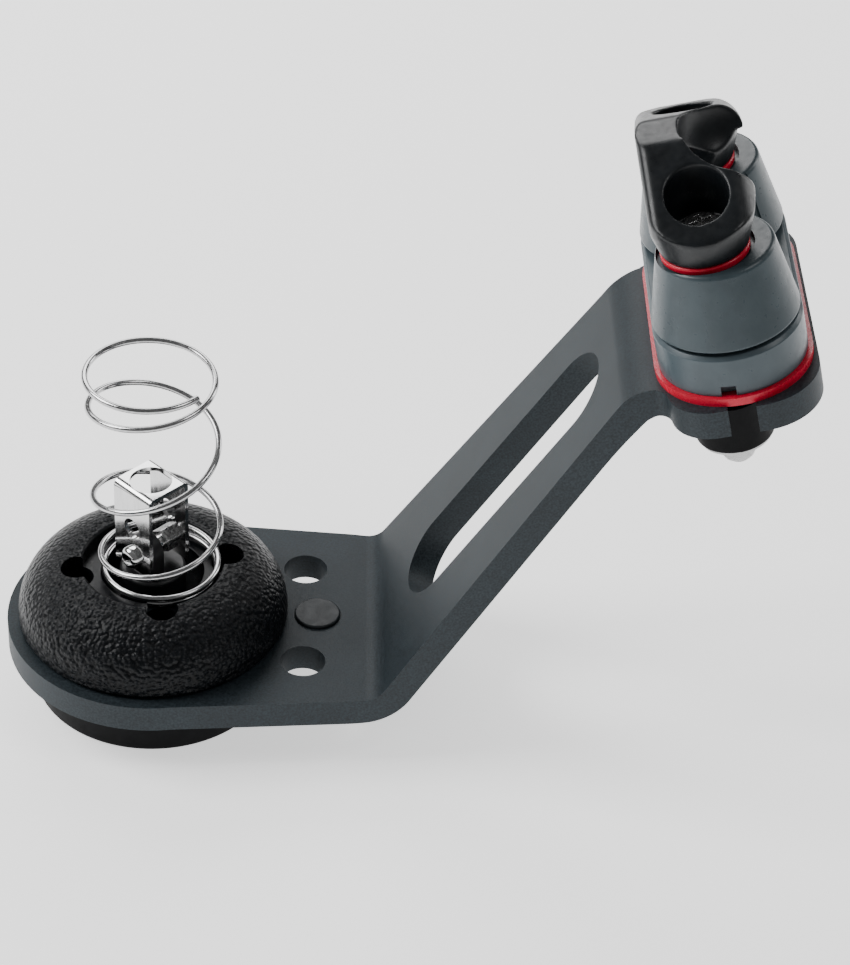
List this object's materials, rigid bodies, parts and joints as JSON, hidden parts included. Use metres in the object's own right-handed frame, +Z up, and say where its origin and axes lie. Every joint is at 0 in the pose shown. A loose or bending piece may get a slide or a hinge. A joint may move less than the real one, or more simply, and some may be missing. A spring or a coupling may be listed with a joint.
{
  "type": "swivel base arm with cam cleat",
  "caption": "Deck-mounted swivel base with a stand-up spring and toggle, and a cranked arm that carries a cam cleat with a fairlead.",
  "frame": {"origin": "on the swivel axis, at the underside of the base where it stands on the deck", "axes": "+Z up along the swivel axis, +X towards the arm's raised end, +Y to the left of the arm seen from the base"},
  "size_m": [0.1985, 0.0774, 0.1702],
  "materials": {
    "black_plastic": "matt",
    "washer_plastic": "matt",
    "grained_cover": "leather-like grain",
    "swivel_plastic": "satin",
    "plug_plastic": "satin",
    "fairlead_plastic": "satin",
    "cleat_body": "satin",
    "cam_composite": "satin",
    "red_plastic": "glossy",
    "anodised_arm": "hard anodised, fine grain",
    "stainless": "bright",
    "polished_stainless": "polished",
    "spring_wire": "bright drawn",
    "bearing_balls": "polished"
  },
  "bodies": {
    "base": {"base_disc": "black_plastic", "lower_thrust_washer": "washer_plastic", "upper_thrust_washer": "washer_plastic", "top_cover": "grained_cover", "cover_screws": "stainless", "stand_up_spring": "spring_wire"},
    "arm": {"arm_plate": "anodised_arm", "arm_plug": "plug_plastic", "gasket": "red_plastic", "cleat_base": "cleat_body", "cam_springs": "spring_wire", "cam_bearings": "bearing_balls", "retaining_rings": "red_plastic", "fairlead": "fairlead_plastic", "cleat_screws": "stainless", "pad_spacers": "black_plastic", "cleat_washers": "stainless", "lock_nuts": "stainless"},
    "near_cam": {"near_cam": "cam_composite"},
    "far_cam": {"far_cam": "cam_composite"},
    "swivel": {"swivel_head": "swivel_plastic", "swivel_washer": "stainless", "swivel_screw": "stainless"},
    "toggle": {"toggle_bracket": "polished_stainless", "toggle_pin": "polished_stainless", "toggle_nut": "stainless"}
  },
  "joints": [
    {"name": "arm_swivel", "type": "hinge", "parent": "base", "child": "arm", "pos_m": [0, 0, 0.0168], "axis": [0, 0, 1], "continuous": true},
    {"name": "near_cam_pivot", "type": "hinge", "parent": "arm", "child": "near_cam", "pos_m": [0.13198, -0.019, 0.14074], "axis": [-0.2334, 0, 0.9724], "range_deg": [-40, 0], "stiffness_Nm_per_rad": 0.02, "springref_deg": 17.19},
    {"name": "far_cam_pivot", "type": "hinge", "parent": "arm", "child": "far_cam", "pos_m": [0.13198, 0.019, 0.14074], "axis": [-0.2334, 0, 0.9724], "range_deg": [0, 40], "stiffness_Nm_per_rad": 0.02, "springref_deg": -17.19},
    {"name": "toggle_swivel", "type": "hinge", "parent": "base", "child": "swivel", "pos_m": [0, 0, 0.03], "axis": [0, 0, 1], "continuous": true},
    {"name": "toggle_tilt", "type": "hinge", "parent": "swivel", "child": "toggle", "pos_m": [0, 0, 0.0423], "axis": [0.7071, 0.7071, 0], "range_deg": [-12, 12], "stiffness_Nm_per_rad": 0.05}
  ]
}
